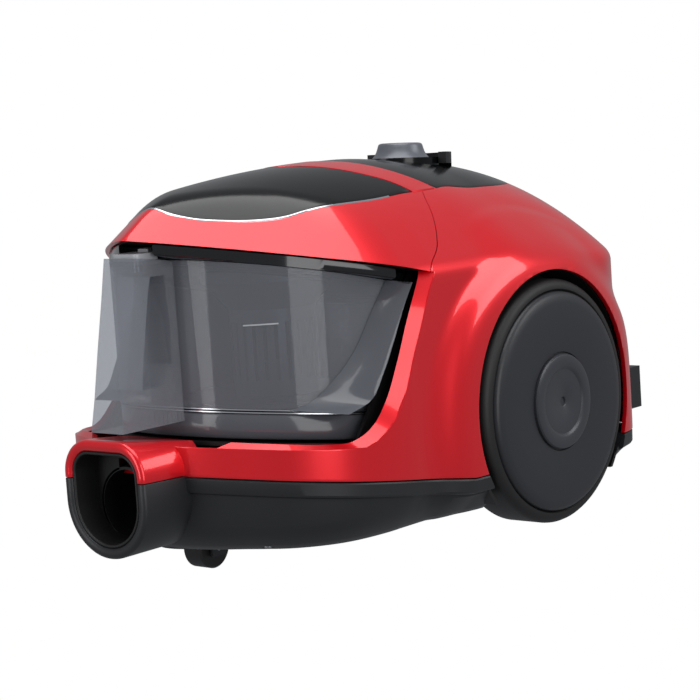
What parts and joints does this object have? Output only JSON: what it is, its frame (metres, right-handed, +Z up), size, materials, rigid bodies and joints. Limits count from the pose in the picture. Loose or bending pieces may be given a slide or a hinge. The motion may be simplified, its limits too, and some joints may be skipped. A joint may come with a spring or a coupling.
{
  "type": "canister vacuum cleaner",
  "caption": "Bagless canister vacuum cleaner with a transparent front dust bin, domed shell, large rear wheels, swivel castor, round hose inlet and rotary power knob.",
  "frame": {"origin": "on the floor, under the middle of the overall box", "axes": "+Z up, -Y towards the hose inlet at the front, +X to one side wheel, along the rear axle"},
  "size_m": [0.272, 0.399, 0.2435],
  "materials": {
    "red_shell": "metallic red lacquer over moulded shell",
    "black_gloss": "high gloss",
    "dark_satin": "fine textured moulding",
    "black_inner": "matt",
    "smoked_clear": "smoked transparent plastic",
    "grey_satin": "satin",
    "light_grey": "satin metallic look",
    "tyre_rubber": "soft tread",
    "steel": "turned",
    "copper_wound": "varnished windings",
    "iron_core": "laminated",
    "cast_alloy": "pressed",
    "filter_foam": "open foam",
    "filter_paper": "pleated",
    "board_green": "solder mask"
  },
  "bodies": {
    "body": {"front_cover": "red_shell", "front_deco_panel": "black_gloss", "hood_liner": "black_inner", "handle_tray": "black_inner", "handle_guides": "red_shell", "main_housing": "red_shell", "rear_deco_panel": "black_gloss", "inlet_cover": "red_shell", "inlet_socket": "black_inner", "inlet_duct": "dark_satin", "base_housing": "dark_satin", "housing_screws": "steel", "bin_bay": "black_inner", "wheel_axles": "steel", "wheel_wells": "black_inner", "castor_housing": "dark_satin", "knob_bezel": "black_gloss", "speed_control": "dark_satin", "motor_housing": "cast_alloy", "motor_stator": "copper_wound", "motor_end_plates": "cast_alloy", "motor_bearings": "steel", "carbon_brushes": "iron_core", "motor_mounts": "tyre_rubber", "pre_motor_filter": "filter_foam", "exhaust_filter": "filter_paper", "reel_frame": "dark_satin", "reel_spindle": "steel", "reel_spring": "steel", "circuit_board": "board_green", "cord_outlet_bush": "tyre_rubber", "rear_stand_feet": "dark_satin"},
    "bin": {"dust_bin": "smoked_clear", "bin_base": "smoked_clear", "bin_lid": "black_gloss", "lid_seal": "tyre_rubber", "cyclone_body": "grey_satin", "cyclone_outlet_tube": "dark_satin", "dust_plate": "grey_satin", "bin_handle": "smoked_clear", "button_spring": "steel"},
    "bin_button": {"release_button": "light_grey"},
    "handle": {"carry_handle": "red_shell"},
    "right_wheel": {"tyre_right": "tyre_rubber", "wheel_disc_right": "dark_satin", "hub_cap_right": "grey_satin"},
    "left_wheel": {"tyre_left": "tyre_rubber", "wheel_disc_left": "dark_satin", "hub_cap_left": "grey_satin"},
    "castor_swivel": {"castor_fork": "dark_satin", "castor_axle": "steel"},
    "castor_roller": {"castor_wheel": "tyre_rubber"},
    "knob": {"power_knob": "grey_satin"},
    "power_key": {"power_button": "grey_satin"},
    "rewind_key": {"rewind_button": "black_inner"},
    "motor_rotor": {"motor_shaft": "steel", "fan_impeller": "cast_alloy", "rotor_core": "iron_core"},
    "cord_drum": {"reel_drum": "dark_satin"},
    "outlet_grille": {"exhaust_grille": "dark_satin"}
  },
  "joints": [
    {"name": "bin_pull_out", "type": "slide", "parent": "body", "child": "bin", "axis": [0, -0.9915, 0.1299], "range_m": [0, 0.2]},
    {"name": "bin_release_press", "type": "slide", "parent": "bin", "child": "bin_button", "axis": [0, 0, -1], "range_m": [0, 0.002], "stiffness_N_per_m": 600, "deforming": ["button_spring"]},
    {"name": "carry_handle_lift", "type": "slide", "parent": "body", "child": "handle", "axis": [0, 0, 1], "range_m": [0, 0.026]},
    {"name": "right_wheel_roll", "type": "hinge", "parent": "body", "child": "right_wheel", "pos_m": [0.115, 0.0705, 0.077], "axis": [1, 0, 0], "continuous": true},
    {"name": "left_wheel_roll", "type": "hinge", "parent": "body", "child": "left_wheel", "pos_m": [-0.115, 0.0705, 0.077], "axis": [1, 0, 0], "continuous": true},
    {"name": "castor_turn", "type": "hinge", "parent": "body", "child": "castor_swivel", "pos_m": [0, -0.128, 0.03], "axis": [0, 0, 1], "continuous": true},
    {"name": "castor_roll", "type": "hinge", "parent": "castor_swivel", "child": "castor_roller", "pos_m": [0, -0.12, 0.013], "axis": [1, 0, 0], "continuous": true},
    {"name": "power_knob_turn", "type": "hinge", "parent": "body", "child": "knob", "pos_m": [0, 0.092, 0.2315], "axis": [0, 0.0523, 0.9986], "range_deg": [-120, 120]},
    {"name": "power_button_press", "type": "slide", "parent": "knob", "child": "power_key", "axis": [0, -0.0523, -0.9986], "range_m": [0, 0.0008], "stiffness_N_per_m": 900},
    {"name": "rewind_button_press", "type": "slide", "parent": "body", "child": "rewind_key", "axis": [0, -0.0523, -0.9986], "range_m": [0, 0.003], "stiffness_N_per_m": 800},
    {"name": "motor_spin", "type": "hinge", "parent": "body", "child": "motor_rotor", "pos_m": [0, 0.12, 0.106], "axis": [0, 1, 0], "continuous": true},
    {"name": "cord_drum_spin", "type": "hinge", "parent": "body", "child": "cord_drum", "pos_m": [0, 0.112, 0.183], "axis": [0, 0, 1], "continuous": true},
    {"name": "exhaust_grille_lift_off", "type": "slide", "parent": "body", "child": "outlet_grille", "axis": [0, 1, 0], "range_m": [0, 0.03]}
  ]
}
